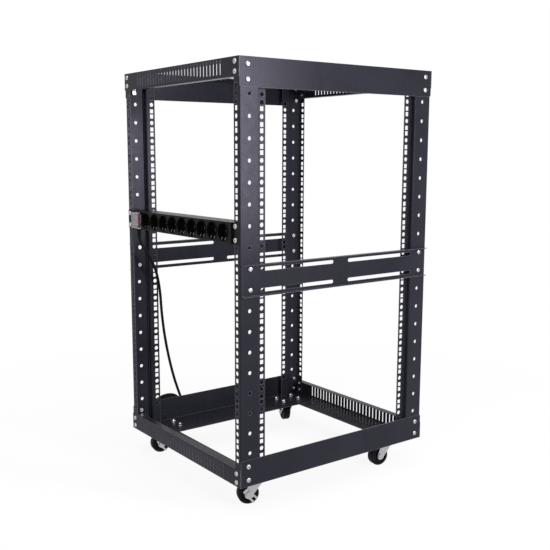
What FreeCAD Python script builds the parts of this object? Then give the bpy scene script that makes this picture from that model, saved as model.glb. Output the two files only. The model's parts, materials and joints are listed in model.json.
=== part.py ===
"""Four post open frame rack on casters, with a switched power strip.

Millimetres. +X is to the right of someone facing the front, +Y to the back,
+Z up. The origin is on the floor, under the middle of the whole rack with its
power strip, so the posts' own middle lies a little behind it.
"""
import FreeCAD, Part
import math
import os
import Sketcher

Vector = FreeCAD.Vector
Rotation = FreeCAD.Rotation
Placement = FreeCAD.Placement

doc = FreeCAD.newDocument("rack")
sheet = doc.addObject("Spreadsheet::Sheet", "Sizes")

# Driving sizes: name, value in mm (or degrees, or a count), meaning.
SIZES = [
    ("unit_pitch", 44.45, "height of one rack unit"),
    ("unit_count", 18, "rack units between the end frames"),
    ("frame_depth", 550.0, "outside of the posts, front to back"),
    ("post_length", 898.5, "post length, between the end frames' flanges"),
    ("caster_height", 64.5, "floor to the underside of the frame"),
    # posts
    ("post_sheet", 1.8, "post sheet thickness"),
    ("rail_flange", 20.0, "width of the flange that faces front or back"),
    ("web_width", 50.0, "width of the flange that faces sideways"),
    ("step_depth", 11.0, "set-back of the inner side flange"),
    ("side_flange", 22.5, "width of the set-back side flange"),
    ("post_bend", 2.6, "outer radius of the post's bends"),
    ("rail_spacing", 465.1, "hole columns, left to right"),
    ("hole_inset", 12.45, "hole column from the post's outer side face"),
    ("hole_start", 72.175, "lowest unit's middle hole above the post's foot"),
    ("hole_rise", 15.875, "outer hole from the middle hole of a unit"),
    ("square_hole", 9.5, "square hole's side"),
    ("round_hole", 10.0, "middle hole's diameter"),
    ("side_column", 14.0, "side flange hole column from the step"),
    ("web_hole", 8.4, "hole in the post's side, one a unit"),
    # end frames
    ("panel_sheet", 1.5, "side and vented panel thickness"),
    ("side_panel_height", 60.0, "side panel height"),
    ("panel_corner", 5.0, "side panel's cut corner"),
    ("foot_flange", 103.0, "bottom side panel's flange under the posts"),
    ("vent_foot", 79.0, "bottom vented panel's flange, level with that one"),
    ("head_flange", 50.0, "top panels' flanges over the posts"),
    ("vent_panel_height", 40.0, "vented panel height"),
    ("vent_lip", 16.0, "vented panel's narrow turned-in edge"),
    ("lip_gap", 1.0, "turned-in edges to the posts and side flanges"),
    ("vent_pitch", 12.7, "vent slot spacing"),
    ("vent_count", 29, "vent slots in a panel"),
    ("vent_width", 4.2, "vent slot width"),
    ("vent_height", 29.0, "vent slot height"),
    ("vent_shift", 1.75, "vent slots from the panel's middle, away from the lip"),
    ("screw_hole", 6.4, "screw hole in a panel"),
    ("panel_screw_inset", 19.5, "side panel screw from the post's front face"),
    ("panel_screw_rise", 15.0, "side panel screw from the panel's middle"),
    ("vent_screw_rise", 9.8, "vented panel screw from the panel's middle"),
    # side rails
    ("rail_height", 68.0, "side rail height"),
    ("rail_drop", 2.3, "side rail's middle below the rack's middle"),
    ("rail_inset", 4.0, "side rail's end from the post's outer face"),
    ("rail_lip", 9.0, "side rail's outward flange"),
    ("slot_height", 8.0, "side rail slot height"),
    ("slot_gap", 43.0, "solid web between two slots of a row"),
    ("slot_margin", 48.0, "slot's end from the rail's end"),
    # casters
    ("caster_inset", 44.5, "caster pivot from the post's outer side face"),
    ("caster_inset_y", 75.5, "caster pivot from the post's front face"),
    ("plate_length", 72.0, "caster plate, front to back"),
    ("plate_width", 52.0, "caster plate, left to right"),
    ("plate_sheet", 2.0, "caster plate thickness"),
    ("plate_corner", 6.0, "caster plate's rounded corners"),
    ("bolt_spacing_x", 34.0, "caster bolts, left to right"),
    ("bolt_spacing_y", 53.0, "caster bolts, front to back"),
    ("bolt_hole", 6.6, "caster bolt hole"),
    ("race_diameter", 40.0, "swivel ball race"),
    ("race_height", 2.5, "upper race below the caster plate"),
    ("swivel_gap", 0.6, "upper race to the fork, and the fork to the kingpin's head"),
    ("kingpin_diameter", 9.0, "swivel rivet"),
    ("kingpin_head", 14.0, "swivel rivet's head diameter"),
    ("head_height", 2.5, "swivel rivet's head height"),
    ("wheel_diameter", 49.0, "caster wheel diameter"),
    ("wheel_width", 20.0, "caster wheel width"),
    ("tread_round", 3.5, "rounding of the wheel's tread edges"),
    ("hub_diameter", 16.0, "wheel hub"),
    ("rim_diameter", 35.0, "inside of the wheel's rim"),
    ("wheel_dish", 2.5, "depth of the wheel's side between hub and rim"),
    ("axle_diameter", 8.0, "caster axle"),
    ("axle_head", 13.0, "axle bolt's head and nut across flats"),
    ("axle_head_height", 3.0, "axle bolt's head and nut"),
    ("running_gap", 0.05, "radial clearance of a turning bore"),
    ("trail", 22.0, "wheel axle behind the swivel axis"),
    ("fork_sheet", 2.0, "fork sheet thickness"),
    ("fork_gap", 1.5, "wheel to fork leg"),
    ("fork_front", 13.0, "leg's top edge in front of the swivel axis"),
    ("fork_back", 20.0, "leg's top edge behind the swivel axis"),
    ("fork_skirt", 5.0, "bridge's side before the legs taper"),
    ("fork_end", 8.5, "radius of the leg's round end"),
    ("fork_bend", 3.0, "outer radius of the fork's folds"),
    ("brake_sheet", 1.6, "brake lever thickness"),
    ("brake_gap", 0.3, "brake lever to the fork and to the nut"),
    ("brake_disc", 20.0, "brake lever's round middle"),
    ("brake_tab", 10.0, "brake pedal's width"),
    ("brake_reach", 17.0, "brake pedal from the axle"),
    ("brake_prong", 4.5, "width of each brake prong"),
    ("brake_fork", 5.5, "middle of each prong from the lever's middle line"),
    ("brake_tip", 21.0, "prongs' tips from the axle"),
    ("pedal_width", 7.0, "turned-out edge of the brake pedal"),
    # power strip
    ("strip_length", 444.0, "power strip housing length"),
    ("strip_height", 44.4, "power strip housing height"),
    ("strip_depth", 44.0, "power strip housing depth"),
    ("strip_unit", 7, "unit, from the top, that the strip's upper screws use"),
    ("strip_drop", 14.2875, "strip's middle below that unit's middle hole"),
    ("strip_reach", 6.0, "strip's face in front of the posts"),
    ("strip_wall", 1.6, "housing wall"),
    ("ear_sheet", 2.0, "mounting ear thickness"),
    ("ear_width", 20.0, "ear in front of the post"),
    ("ear_slot", 9.6, "length of the ear's screw slot"),
    ("cheek_inset", 2.0, "ear's cheek from the housing's back"),
    ("outlet_count", 9, "outlets"),
    ("outlet_pitch", 42.0, "outlet spacing"),
    ("outlet_diameter", 38.0, "outlet recess"),
    ("outlet_depth", 15.0, "outlet recess depth"),
    ("outlet_floor", 4.0, "outlet block behind a recess"),
    ("contact_hole", 5.4, "outlet contact hole"),
    ("contact_depth", 3.0, "contact hole behind a recess"),
    ("outlet_end", 31.0, "last outlet's middle from the strip's end"),
    ("switch_end", 39.0, "switch's middle from the strip's other end"),
    ("switch_plate", 58.0, "blank end of the strip that carries the switch"),
    ("rocker_width", 19.0, "rocker"),
    ("rocker_height", 24.0, "rocker"),
    ("rocker_gap", 1.1, "rocker to its frame"),
    ("rocker_reach", 4.5, "rocker's face in front of the strip's face"),
    ("rocker_dish", 1.5, "hollow in the middle of the rocker's face"),
    ("rocker_side", 3.0, "rocker's ends behind the strip's face"),
    ("rocker_back", 8.0, "rocker's heel behind the strip's face"),
    ("rocker_heel", 8.0, "height of the rocker's heel"),
    ("rocker_pivot", 3.0, "rocker pin diameter"),
    ("pivot_depth", 4.0, "rocker pin behind the strip's face"),
    ("sleeve_wall", 0.95, "switch's sleeve in the strip"),
    ("sleeve_depth", 12.0, "switch's sleeve behind the strip's face"),
    ("sleeve_gap", 0.05, "switch's sleeve to the strip's opening"),
    ("frame_border", 3.0, "switch frame around the rocker"),
    ("frame_reach", 2.0, "switch frame in front of the strip's face"),
    ("cover_width", 35.0, "clear cover"),
    ("cover_height", 39.0, "clear cover"),
    ("cover_reach", 10.5, "clear cover in front of the strip's face"),
    ("cover_wall", 1.3, "clear cover's wall"),
    ("cover_back", 2.5, "clear cover's open edge in front of the strip's face"),
    ("cover_pin", 2.0, "clear cover's hinge pin"),
    ("cover_pin_reach", 4.0, "hinge pin in front of the strip's face"),
    ("cover_pin_drop", 2.0, "hinge pin below the cover's top edge"),
    ("cover_barrel", 4.0, "clear cover's hinge barrel"),
    ("cover_gap", 1.0, "clear cover to each hinge lug"),
    ("lug_sheet", 1.5, "hinge lug thickness"),
    ("lug_height", 3.6, "hinge lug height"),
    ("lug_past", 1.2, "hinge lug in front of its pin's middle"),
    ("lug_root", 6.0, "height of the tab that joins a lug to the frame"),
    ("root_sheet", 0.8, "thickness of that tab"),
    ("gland_end", 17.0, "cord gland from the strip's end"),
    ("gland_back", 13.0, "cord gland behind the strip's face"),
    ("gland_diameter", 13.0, "cord gland's flange"),
    ("gland_flange", 3.0, "thickness of the gland's flange"),
    ("gland_waist", 0.85, "gland's body as a share of its flange"),
    ("gland_wall", 1.2, "gland's wall at the cord"),
    ("gland_length", 20.0, "cord gland below the housing"),
    ("cord_diameter", 7.0, "supply cord"),
    ("coil_radius", 60.0, "middle of the coil's turns"),
    ("coil_lean", 8.3, "degrees that the coil leans on the side panel"),
    ("plug_diameter", 34.0, "plug body"),
    ("plug_length", 21.0, "plug body without its grip"),
    ("grip_length", 17.0, "plug's tapered grip"),
    ("grip_end", 12.0, "grip's diameter at the cord"),
    ("pin_diameter", 4.8, "plug pin"),
    ("pin_length", 19.0, "plug pin"),
    ("pin_spacing", 19.0, "plug pins and outlet contacts"),
    ("plug_waist", 0.75, "grip's wide end as a share of the plug's body"),
]


class Size:
    """A length that keeps its value and the sheet expression behind it."""

    def __init__(self, value, text):
        self.value = float(value)
        self.text = text

    def __add__(self, other):
        other = size(other)
        return Size(self.value + other.value, "(%s + %s)" % (self.text, other.text))

    def __radd__(self, other):
        return size(other) + self

    def __sub__(self, other):
        other = size(other)
        return Size(self.value - other.value, "(%s - %s)" % (self.text, other.text))

    def __rsub__(self, other):
        return size(other) - self

    def __mul__(self, other):
        other = size(other)
        return Size(self.value * other.value, "(%s * %s)" % (self.text, other.text))

    def __rmul__(self, other):
        return size(other) * self

    def __truediv__(self, other):
        other = size(other)
        return Size(self.value / other.value, "(%s / %s)" % (self.text, other.text))

    def __neg__(self):
        return Size(-self.value, "(0 - %s)" % self.text)

    def __float__(self):
        return self.value


def size(number):
    """Wrap a plain number, or pass a Size through."""
    if isinstance(number, Size):
        return number
    return Size(number, repr(float(number)))


def fill_sheet():
    """Write the driving sizes and return them as Size objects by name."""
    named = {}
    for row, (name, value, meaning) in enumerate(SIZES, start=1):
        sheet.set("A%d" % row, name)
        sheet.set("B%d" % row, repr(value))
        sheet.set("C%d" % row, meaning)
        sheet.setAlias("B%d" % row, name)
        named[name] = Size(value, "Sizes." + name)
    doc.recompute()
    return named


class Named:
    """Attribute access to the driving sizes."""

    def __init__(self, entries):
        self.__dict__.update(entries)


D = Named(fill_sheet())

# Places that several pieces share.
half_width = D.rail_spacing / 2 + D.hole_inset
half_depth = D.frame_depth / 2
frame_y = (D.strip_reach + D.cover_reach - D.panel_sheet) / 2
frame_bottom = D.caster_height
post_foot = D.caster_height + D.panel_sheet
frame_top = post_foot + D.post_length + D.panel_sheet
first_unit = post_foot + D.hole_start
frame_middle = first_unit + D.unit_pitch * (D.unit_count - 1) / 2
rail_column = D.rail_spacing / 2

# A cut this many sheets deep goes through one sheet and no further piece.
THROUGH = 4

made = []


# ---------------------------------------------------------------- helpers

def bind(thing, prop, length):
    """Drive a property from the sheet."""
    thing.setExpression(prop, size(length).text)


def new_body(name):
    body = doc.addObject("PartDesign::Body", "Body_" + name)
    body.Label = name
    made.append((name, body))
    return body


def place(thing, x=0.0, y=0.0, z=0.0, rotation=None):
    """Set a placement whose position follows the sheet."""
    point = Vector(float(x), float(y), float(z))
    thing.Placement = Placement(point, rotation or Rotation())
    for axis, length in (("x", x), ("y", y), ("z", z)):
        if isinstance(length, Size):
            bind(thing, "Placement.Base." + axis, length)


def new_sketch(body, name, plane, offset=0.0):
    """Sketch on one of the body's own origin planes, moved along its normal."""
    sketch = body.newObject("Sketcher::SketchObject", name)
    for feature in body.Origin.OriginFeatures:
        if feature.Role == plane:
            sketch.AttachmentSupport = (feature, [""])
    sketch.MapMode = "FlatFace"
    sketch.AttachmentOffset = Placement(Vector(0, 0, float(offset)), Rotation())
    if isinstance(offset, Size):
        bind(sketch, "AttachmentOffset.Base.z", offset)
    return sketch


def pin_point(sketch, curve, end, x, y):
    """Hold one sketch point at driven coordinates."""
    for kind, length in (("DistanceX", size(x)), ("DistanceY", size(y))):
        index = sketch.addConstraint(
            Sketcher.Constraint(kind, -1, 1, curve, end, length.value))
        sketch.setExpression("Constraints[%d]" % index, length.text)


def draw_outline(sketch, points):
    """Closed outline of straight lines through driven points."""
    first = sketch.GeometryCount
    count = len(points)
    for index in range(count):
        start = points[index]
        end = points[(index + 1) % count]
        sketch.addGeometry(Part.LineSegment(
            Vector(float(start[0]), float(start[1]), 0),
            Vector(float(end[0]), float(end[1]), 0)), False)
    for index in range(count):
        after = (index + 1) % count
        sketch.addConstraint(
            Sketcher.Constraint("Coincident", first + index, 2, first + after, 1))
        pin_point(sketch, first + index, 1, points[index][0], points[index][1])


def draw_box(sketch, x, y, width, height):
    """Rectangle by its middle and its two sides."""
    x, y, width, height = size(x), size(y), size(width), size(height)
    draw_outline(sketch, [
        (x - width / 2, y - height / 2), (x + width / 2, y - height / 2),
        (x + width / 2, y + height / 2), (x - width / 2, y + height / 2)])


def draw_circle(sketch, x, y, diameter):
    x, y, diameter = size(x), size(y), size(diameter)
    index = sketch.addGeometry(Part.Circle(
        Vector(x.value, y.value, 0), Vector(0, 0, 1), diameter.value / 2), False)
    pin_point(sketch, index, 3, x, y)
    row = sketch.addConstraint(
        Sketcher.Constraint("Radius", index, diameter.value / 2))
    sketch.setExpression("Constraints[%d]" % row, (diameter / 2).text)


def draw_slot(sketch, x, y, length, height):
    """Round-ended slot along the sketch's first axis."""
    x, y, length, height = size(x), size(y), size(length), size(height)
    reach = (length - height) / 2
    radius = height.value / 2
    left = x - reach
    right = x + reach
    first = sketch.GeometryCount
    quarter = math.pi / 2
    sketch.addGeometry(Part.ArcOfCircle(
        Part.Circle(Vector(left.value, y.value, 0), Vector(0, 0, 1), radius),
        quarter, 3 * quarter), False)
    sketch.addGeometry(Part.LineSegment(
        Vector(left.value, y.value - radius, 0),
        Vector(right.value, y.value - radius, 0)), False)
    sketch.addGeometry(Part.ArcOfCircle(
        Part.Circle(Vector(right.value, y.value, 0), Vector(0, 0, 1), radius),
        -quarter, quarter), False)
    sketch.addGeometry(Part.LineSegment(
        Vector(right.value, y.value + radius, 0),
        Vector(left.value, y.value + radius, 0)), False)
    ends = ((first, 2, first + 1, 1), (first + 1, 2, first + 2, 1),
            (first + 2, 2, first + 3, 1), (first + 3, 2, first, 1))
    for end in ends:
        sketch.addConstraint(Sketcher.Constraint("Coincident", *end))
    pin_point(sketch, first, 3, left, y)
    pin_point(sketch, first + 2, 3, right, y)
    pin_point(sketch, first + 1, 1, left, y - height / 2)
    pin_point(sketch, first + 3, 1, right, y + height / 2)


def draw_hexagon(sketch, x, y, across_flats):
    """Hexagon with two sides parallel to the sketch's second axis."""
    x, y, across_flats = size(x), size(y), size(across_flats)
    corner = across_flats / math.sqrt(3)
    points = []
    for turn in range(30, 390, 60):
        angle = math.radians(turn)
        points.append((x + corner * math.cos(angle), y + corner * math.sin(angle)))
    draw_outline(sketch, points)


def draw_leg(sketch, front, back, top, x, y, radius):
    """Straight top edge whose two sides run tangent to a round end at x, y."""
    middle = Vector(float(x), float(y), 0)
    corners = [Vector(float(front), float(top), 0), Vector(float(back), float(top), 0)]
    touch = []
    for corner, side in zip(corners, (-1, 1)):
        reach = middle - corner
        lean = math.asin(float(radius) / reach.Length)
        along = math.atan2(reach.y, reach.x) + side * lean
        run = math.sqrt(reach.Length ** 2 - float(radius) ** 2)
        touch.append(corner + Vector(run * math.cos(along), run * math.sin(along), 0))
    first = sketch.GeometryCount
    start = math.atan2(touch[0].y - middle.y, touch[0].x - middle.x)
    end = math.atan2(touch[1].y - middle.y, touch[1].x - middle.x)
    end += 2 * math.pi if end < start else 0.0
    sketch.addGeometry(Part.LineSegment(corners[1], corners[0]), False)
    sketch.addGeometry(Part.LineSegment(corners[0], touch[0]), False)
    sketch.addGeometry(Part.ArcOfCircle(
        Part.Circle(middle, Vector(0, 0, 1), float(radius)), start, end), False)
    sketch.addGeometry(Part.LineSegment(touch[1], corners[1]), False)
    sketch.addConstraint(Sketcher.Constraint("Coincident", first, 2, first + 1, 1))
    sketch.addConstraint(Sketcher.Constraint("Tangent", first + 1, 2, first + 2, 1))
    sketch.addConstraint(Sketcher.Constraint("Tangent", first + 2, 2, first + 3, 1))
    sketch.addConstraint(Sketcher.Constraint("Coincident", first + 3, 2, first, 1))
    pin_point(sketch, first, 2, front, top)
    pin_point(sketch, first, 1, back, top)
    pin_point(sketch, first + 2, 3, x, y)
    row = sketch.addConstraint(Sketcher.Constraint("Radius", first + 2, float(radius)))
    sketch.setExpression("Constraints[%d]" % row, size(radius).text)


def pad(body, sketch, name, length, both_ways=False, backwards=False):
    feature = body.newObject("PartDesign::Pad", name)
    feature.Profile = sketch
    feature.Length = float(length)
    if isinstance(length, Size):
        bind(feature, "Length", length)
    feature.Midplane = both_ways
    feature.Reversed = backwards
    doc.recompute()
    return feature


def cut(body, sketch, name, length):
    """Pocket to half the length on both sides of its sketch."""
    feature = body.newObject("PartDesign::Pocket", name)
    feature.Profile = sketch
    feature.Length = float(length)
    if isinstance(length, Size):
        bind(feature, "Length", length)
    feature.Midplane = True
    doc.recompute()
    return feature


def revolve(body, sketch, name, axis):
    """Turn a sketch a full circle about one of its own axes."""
    feature = body.newObject("PartDesign::Revolution", name)
    feature.Profile = sketch
    feature.ReferenceAxis = (sketch, [axis])
    feature.Angle = 360.0
    doc.recompute()
    return feature


def repeat(body, feature, name, sketch, axis, pitch, count):
    """Copy a feature in a row along an axis of its sketch."""
    pattern = body.newObject("PartDesign::LinearPattern", name)
    pattern.Originals = [feature]
    pattern.Direction = (sketch, [axis])
    pattern.Length = float(pitch) * (float(count) - 1)
    pattern.Occurrences = int(float(count))
    bind(pattern, "Length", pitch * (count - 1))
    bind(pattern, "Occurrences", count)
    body.Tip = pattern
    doc.recompute()
    return pattern


def edges_at(feature, wanted):
    """Names of the straight edges that lie along a line: a test by two ends."""
    names = []
    for index, edge in enumerate(feature.Shape.Edges, start=1):
        ends = [vertex.Point for vertex in edge.Vertexes]
        if len(ends) == 2 and wanted(ends[0], ends[1]):
            names.append("Edge%d" % index)
    return names


def round_edges(body, feature, name, edge_names, radius):
    rounding = body.newObject("PartDesign::Fillet", name)
    rounding.Base = (feature, edge_names)
    rounding.Radius = float(radius)
    bind(rounding, "Radius", radius)
    body.Tip = rounding
    doc.recompute()
    return rounding


def circles_at(feature, radius):
    """Names of the full circular edges of one radius."""
    names = []
    for index, edge in enumerate(feature.Shape.Edges, start=1):
        if edge.Curve.TypeId == "Part::GeomCircle" and near(edge.Curve.Radius, radius):
            names.append("Edge%d" % index)
    return names


def near(first, second, slack=0.01):
    return abs(float(first) - float(second)) < slack


def new_solid(name, shape, x=0.0, y=0.0, z=0.0, rotation=None):
    """A named piece made by Part functions in its own frame, then placed."""
    feature = doc.addObject("Part::Feature", "Solid_" + name)
    feature.Shape = shape
    feature.Label = name
    place(feature, x, y, z, rotation)
    made.append((name, feature))
    return feature


# ------------------------------------------------------------------ posts

def build_post(name, hand, x, y, rotation):
    """One post, with its outer corner at its own origin.

    hand is 1 where the rail flange runs towards -X from the corner,
    and -1 for the mirrored post.
    """
    body = new_body(name)
    sheet_gap = D.post_sheet
    path = [
        (-D.rail_flange, 0.0),
        (0.0, 0.0),
        (0.0, D.web_width),
        (-D.step_depth, D.web_width),
        (-D.step_depth, D.web_width + D.side_flange),
        (-D.step_depth - sheet_gap, D.web_width + D.side_flange),
        (-D.step_depth - sheet_gap, D.web_width - sheet_gap),
        (-sheet_gap, D.web_width - sheet_gap),
        (-sheet_gap, sheet_gap),
        (-D.rail_flange, sheet_gap),
    ]
    section = new_sketch(body, "Section_" + name, "XY_Plane")
    draw_outline(section, [(hand * size(px), size(py)) for px, py in path])
    length = pad(body, section, "Length_" + name, D.post_length)

    corners = [(0.0, 0.0), (0.0, float(D.web_width)),
               (-float(D.step_depth + sheet_gap), float(D.web_width - sheet_gap))]

    def is_bend(start, end):
        upright = near(start.x, end.x) and near(start.y, end.y)
        return upright and any(
            near(start.x, hand * cx) and near(start.y, cy) for cx, cy in corners)

    round_edges(body, length, "Bends_" + name, edges_at(length, is_bend), D.post_bend)

    first = D.hole_start
    column = -D.hole_inset
    depth = D.post_sheet * THROUGH

    # rail flange: XZ plane, sketch x is X and sketch y is Z
    squares = new_sketch(body, "Squares_" + name, "XZ_Plane")
    for rise in (-D.hole_rise, D.hole_rise):
        draw_box(squares, hand * column, first + rise, D.square_hole, D.square_hole)
    squares_cut = cut(body, squares, "SquareHoles_" + name, depth)
    repeat(body, squares_cut, "SquareRows_" + name, squares, "V_Axis",
           D.unit_pitch, D.unit_count)
    middles = new_sketch(body, "Middles_" + name, "XZ_Plane")
    draw_circle(middles, hand * column, first, D.round_hole)
    middles_cut = cut(body, middles, "MiddleHoles_" + name, depth)
    repeat(body, middles_cut, "MiddleRows_" + name, middles, "V_Axis",
           D.unit_pitch, D.unit_count)

    # set-back side flange: YZ plane moved to it, sketch x is Y and y is Z
    side_plane = hand * -(D.step_depth + D.post_sheet / 2)
    side_column = D.web_width + D.side_column
    side_squares = new_sketch(body, "SideSquares_" + name, "YZ_Plane", side_plane)
    for rise in (-D.hole_rise, D.hole_rise):
        draw_box(side_squares, side_column, first + rise, D.square_hole, D.square_hole)
    side_cut = cut(body, side_squares, "SideSquareHoles_" + name, depth)
    repeat(body, side_cut, "SideSquareRows_" + name, side_squares, "V_Axis",
           D.unit_pitch, D.unit_count)
    side_middles = new_sketch(body, "SideMiddles_" + name, "YZ_Plane", side_plane)
    draw_circle(side_middles, side_column, first, D.round_hole)
    side_middle_cut = cut(body, side_middles, "SideMiddleHoles_" + name, depth)
    repeat(body, side_middle_cut, "SideMiddleRows_" + name, side_middles, "V_Axis",
           D.unit_pitch, D.unit_count)

    # web: one round hole a unit
    web = new_sketch(body, "Web_" + name, "YZ_Plane")
    draw_circle(web, D.web_width / 2, first, D.web_hole)
    web_cut = cut(body, web, "WebHoles_" + name, depth)
    repeat(body, web_cut, "WebRows_" + name, web, "V_Axis", D.unit_pitch, D.unit_count)

    place(body, x, y, post_foot, rotation)


def build_posts():
    turned = Rotation(Vector(0, 0, 1), 180)
    front = frame_y - half_depth
    back = frame_y + half_depth
    build_post("post_front_right", 1, half_width, front, Rotation())
    build_post("post_front_left", -1, -half_width, front, Rotation())
    build_post("post_rear_left", 1, -half_width, back, turned)
    build_post("post_rear_right", -1, half_width, back, turned)


# ------------------------------------------------------------- end frames

def build_side_panel(name, side, z, flange, is_top):
    """Side panel: an angle whose flange lies under or over two posts.

    Its own origin is on the post's outer face, at the panel's bottom.
    """
    body = new_body(name)
    section = new_sketch(body, "Section_" + name, "XZ_Plane")
    inner = flange - D.panel_sheet
    height = D.side_panel_height
    points = [
        (side * D.panel_sheet, size(0.0)), (side * D.panel_sheet, height),
        (size(0.0), height), (size(0.0), D.panel_sheet),
        (side * -inner, D.panel_sheet), (side * -inner, size(0.0))]
    if is_top:
        points = [(px, height - pz) for px, pz in points]
    draw_outline(section, points)
    plate = pad(body, section, "Plate_" + name, D.frame_depth, both_ways=True)

    edge_z = 0.0 if is_top else float(height)

    def is_corner(start, end):
        across = near(start.y, end.y) and near(start.z, end.z)
        at_end = near(abs(start.y), float(half_depth))
        return across and at_end and near(start.z, edge_z)

    round_edges(body, plate, "Corners_" + name, edges_at(plate, is_corner),
                D.panel_corner)

    holes = new_sketch(body, "Screws_" + name, "YZ_Plane")
    for end in (-1, 1):
        for rise in (-1, 1):
            draw_circle(holes, end * (half_depth - D.panel_screw_inset),
                        height / 2 + rise * D.panel_screw_rise, D.screw_hole)
    cut(body, holes, "ScrewHoles_" + name, D.panel_sheet * THROUGH)

    if not is_top:
        bolts = new_sketch(body, "Bolts_" + name, "XY_Plane")
        for end in (-1, 1):
            for across in (-1, 1):
                for along in (-1, 1):
                    draw_circle(
                        bolts,
                        side * -D.caster_inset + across * D.bolt_spacing_x / 2,
                        end * (half_depth - D.caster_inset_y) + along * D.bolt_spacing_y / 2,
                        D.bolt_hole)
        cut(body, bolts, "BoltHoles_" + name, D.panel_sheet * THROUGH)
    place(body, side * half_width, frame_y, z)


def build_vent_panel(name, end, z, flange, side_flange, is_top):
    """Vented end panel: a lip between the posts, and a flange between the side flanges.

    Its own origin is on the posts' face, at the panel's bottom.
    """
    body = new_body(name)
    height = D.vent_panel_height
    plate_sketch = new_sketch(body, "Plate_" + name, "XZ_Plane", end * -D.panel_sheet / 2)
    draw_box(plate_sketch, 0.0, height / 2, (half_width + D.panel_sheet) * 2, height)
    pad(body, plate_sketch, "Sheet_" + name, D.panel_sheet, both_ways=True)

    edges = [
        ("Lip", D.vent_lip, half_width - D.rail_flange - D.lip_gap, not is_top),
        ("Flange", flange, half_width + D.panel_sheet - side_flange - D.lip_gap, is_top)]
    for word, depth, reach, at_top in edges:
        edge_z = height - D.panel_sheet if at_top else size(0.0)
        edge = new_sketch(body, word + "_" + name, "XY_Plane", edge_z)
        draw_box(edge, 0.0, end * (D.panel_sheet - depth / 2), reach * 2, depth)
        pad(body, edge, word + "Sheet_" + name, D.panel_sheet)

    vents = new_sketch(body, "Vents_" + name, "XZ_Plane")
    shift = D.vent_shift if is_top else -D.vent_shift
    draw_box(vents, -D.vent_pitch * (D.vent_count - 1) / 2, height / 2 + shift,
             D.vent_width, D.vent_height)
    vents_cut = cut(body, vents, "Vent_" + name, D.panel_sheet * THROUGH)
    repeat(body, vents_cut, "VentRow_" + name, vents, "H_Axis", D.vent_pitch, D.vent_count)

    holes = new_sketch(body, "Screws_" + name, "XZ_Plane")
    for across in (-1, 1):
        for rise in (-1, 1):
            draw_circle(holes, across * rail_column,
                        height / 2 + rise * D.vent_screw_rise, D.screw_hole)
    cut(body, holes, "ScrewHoles_" + name, D.panel_sheet * THROUGH)
    place(body, 0.0, frame_y + end * half_depth, z)


def build_end_frames():
    top_sides = frame_top - D.side_panel_height
    top_vents = frame_top - D.vent_panel_height
    for side, word in ((-1, "left"), (1, "right")):
        build_side_panel("bottom_side_panel_" + word, side, frame_bottom,
                         D.foot_flange, False)
        build_side_panel("top_side_panel_" + word, side, top_sides, D.head_flange, True)
    for end, word in ((-1, "front"), (1, "rear")):
        build_vent_panel("bottom_vent_panel_" + word, end, frame_bottom,
                         D.vent_foot, D.foot_flange, False)
        build_vent_panel("top_vent_panel_" + word, end, top_vents,
                         D.head_flange, D.head_flange, True)


# -------------------------------------------------------------- side rails

def build_side_rail(name, side):
    """Slotted channel across the outside of two posts, open outwards."""
    body = new_body(name)
    half = D.rail_height / 2
    section = new_sketch(body, "Section_" + name, "XZ_Plane")
    draw_outline(section, [
        (size(0.0), -half), (side * D.rail_lip, -half),
        (side * D.rail_lip, D.panel_sheet - half),
        (side * D.panel_sheet, D.panel_sheet - half),
        (side * D.panel_sheet, half - D.panel_sheet),
        (side * D.rail_lip, half - D.panel_sheet),
        (side * D.rail_lip, half), (size(0.0), half)])
    length = D.frame_depth - D.rail_inset * 2
    pad(body, section, "Length_" + name, length, both_ways=True)

    slots = new_sketch(body, "Slots_" + name, "YZ_Plane")
    slot_length = (length - D.slot_margin * 2 - D.slot_gap) / 2
    for end in (-1, 1):
        for rise in (-1, 1):
            draw_slot(slots, end * (D.slot_gap + slot_length) / 2,
                      rise * D.unit_pitch / 2, slot_length, D.slot_height)
    cut(body, slots, "SlotCuts_" + name, D.panel_sheet * THROUGH)

    holes = new_sketch(body, "Screws_" + name, "YZ_Plane")
    for end in (-1, 1):
        for rise in (-1, 1):
            draw_circle(holes, end * (half_depth - D.web_width / 2),
                        rise * D.unit_pitch / 2 + D.rail_drop, D.screw_hole)
    cut(body, holes, "ScrewHoles_" + name, D.panel_sheet * THROUGH)
    place(body, side * half_width, frame_y, frame_middle - D.rail_drop)


# ----------------------------------------------------------------- casters

# Heights below the underside of the frame, and reaches from the wheel's middle.
race_bottom = D.plate_sheet + D.race_height
fork_top = race_bottom + D.swivel_gap
fork_under = fork_top + D.fork_sheet
head_top = fork_under + D.swivel_gap
axle_drop = D.caster_height - D.wheel_diameter / 2
leg_inside = D.wheel_width / 2 + D.fork_gap
leg_outside = leg_inside + D.fork_sheet
brake_face = leg_outside + D.brake_gap


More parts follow.
